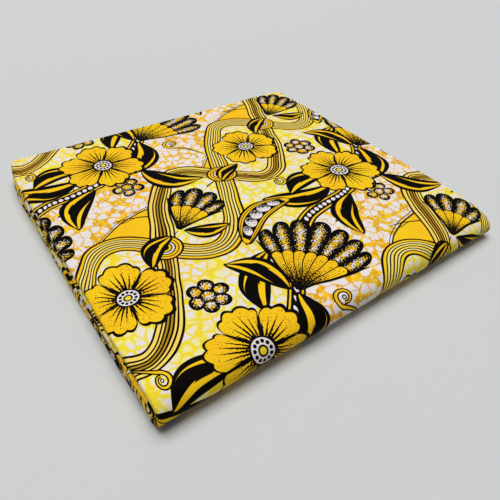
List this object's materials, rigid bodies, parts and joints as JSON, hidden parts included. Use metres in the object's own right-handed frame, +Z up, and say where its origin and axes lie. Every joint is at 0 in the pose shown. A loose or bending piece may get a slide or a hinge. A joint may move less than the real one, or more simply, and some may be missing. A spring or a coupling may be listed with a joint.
{
  "type": "folded african wax print fabric",
  "caption": "Folded length of wax-print cotton: a flat rectangular stack of cloth with a smooth rolled fold along one side and rounded, layered fold edges at the others.",
  "frame": {"origin": "middle of the underside, on the surface the stack lies on", "axes": "+X along the rolled near fold, +Y from the rolled fold towards the open side, +Z up"},
  "size_m": [0.305, 0.2858, 0.0206],
  "materials": {
    "printed_cotton": "waxed cotton, smooth, faint sheen, printed in gold, lemon, white and black",
    "fold_edges": "the same printed cotton, seen at its folded edges",
    "inner_layers": "matte cotton, layered"
  },
  "bodies": {
    "root": {"outer_cloth": "printed_cotton", "inner_edge_left": "fold_edges", "inner_edge_right": "fold_edges", "hidden_layers": "inner_layers"}
  },
  "joints": []
}
